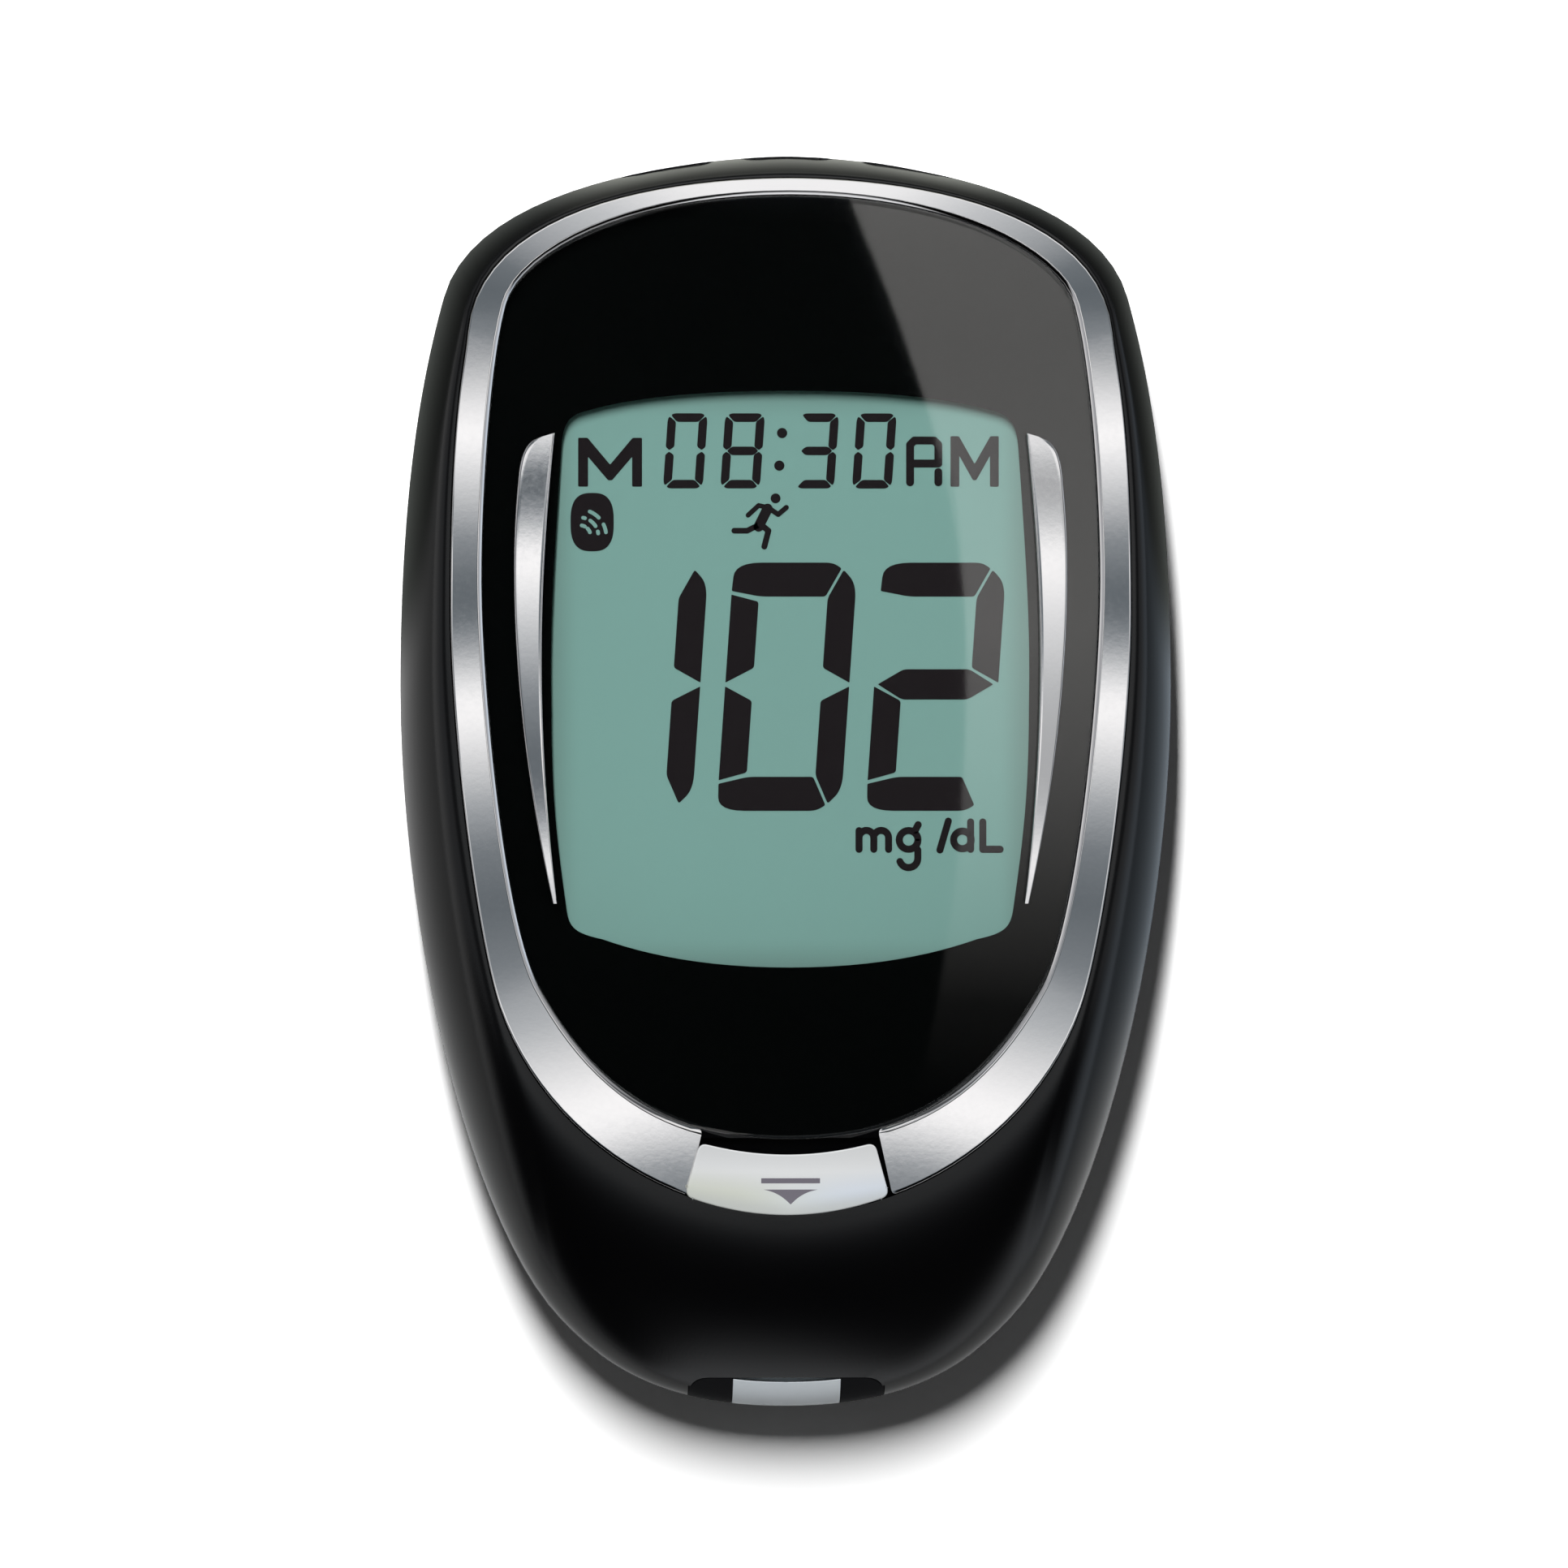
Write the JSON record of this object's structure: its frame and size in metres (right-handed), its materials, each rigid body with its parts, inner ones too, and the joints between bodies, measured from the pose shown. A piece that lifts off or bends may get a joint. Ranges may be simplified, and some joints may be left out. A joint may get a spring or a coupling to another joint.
{
  "type": "blood glucose meter",
  "caption": "Hand-held meter: egg-shaped black body, silver-rimmed lens over a segment display, strip port with sliding release button, side keys and battery door.",
  "frame": {"origin": "centre of the flat back face, with the meter lying on its back", "axes": "+X to the display's right, +Y to the top end with the keys (-Y is the strip port end), +Z out of the display"},
  "size_m": [0.0544, 0.0882, 0.0176],
  "materials": {
    "black_shell": "satin black",
    "black_trim": "matte black",
    "silver_bezel": "bright plated plastic",
    "silver_trim": "brushed silver",
    "clear_lens": "clear gloss",
    "mask_ink": "black print",
    "film": "polarising film",
    "display_glass": "clear",
    "reflector": "green-grey reflector",
    "natural_plastic": "natural",
    "elastomer": "soft",
    "circuit_board": "solder mask",
    "component_black": "moulded",
    "component_metal": "tinned",
    "brass": "plain",
    "ceramic": "plain",
    "port_grey": "satin pale grey",
    "pearl_button": "pearl white",
    "steel": "plain",
    "gold_contact": "gold plated"
  },
  "bodies": {
    "case": {"front_housing": "black_shell", "rear_housing": "black_shell", "housing_screws": "steel", "bezel_ring": "silver_bezel", "display_lens": "clear_lens", "lens_mask": "mask_ink", "side_trim_left": "silver_trim", "side_trim_right": "silver_trim", "front_polariser": "film", "lcd_front_glass": "display_glass", "lcd_rear_glass": "display_glass", "lcd_reflector": "reflector", "lcd_frame": "natural_plastic", "zebra_strip": "elastomer", "main_board": "circuit_board", "controller_chip": "component_black", "radio_module": "component_metal", "timing_crystal": "component_metal", "piezo_sounder": "brass", "board_capacitors": "ceramic", "strip_port": "port_grey", "port_surround": "black_trim", "strip_connector": "component_black", "strip_contacts": "gold_contact", "ejector_spring": "steel", "key_switches": "component_black", "coin_cell_left": "steel", "coin_cell_right": "steel", "positive_contacts": "gold_contact", "negative_contacts": "gold_contact"},
    "release": {"release_button": "pearl_button", "ejector_slider": "natural_plastic"},
    "up": {"up_key": "black_trim"},
    "set": {"set_key": "black_trim"},
    "down": {"down_key": "black_trim"},
    "door": {"battery_door": "black_shell"}
  },
  "joints": [
    {"name": "release_slide", "type": "slide", "parent": "case", "child": "release", "axis": [0, -1, 0], "range_m": [0, 0.002], "stiffness_N_per_m": 300, "springref_m": -0.001, "deforming": ["ejector_spring"]},
    {"name": "up_press", "type": "slide", "parent": "case", "child": "up", "axis": [0, -1, 0], "range_m": [0, 0.0005], "stiffness_N_per_m": 800, "springref_m": -0.0003},
    {"name": "set_press", "type": "slide", "parent": "case", "child": "set", "axis": [0, -1, 0], "range_m": [0, 0.0005], "stiffness_N_per_m": 800, "springref_m": -0.0003},
    {"name": "down_press", "type": "slide", "parent": "case", "child": "down", "axis": [0, -1, 0], "range_m": [0, 0.0005], "stiffness_N_per_m": 800, "springref_m": -0.0003},
    {"name": "battery_door_hinge", "type": "hinge", "parent": "case", "child": "door", "pos_m": [0, 0.019, 0.00075], "axis": [1, 0, 0], "range_deg": [0, 60]}
  ]
}
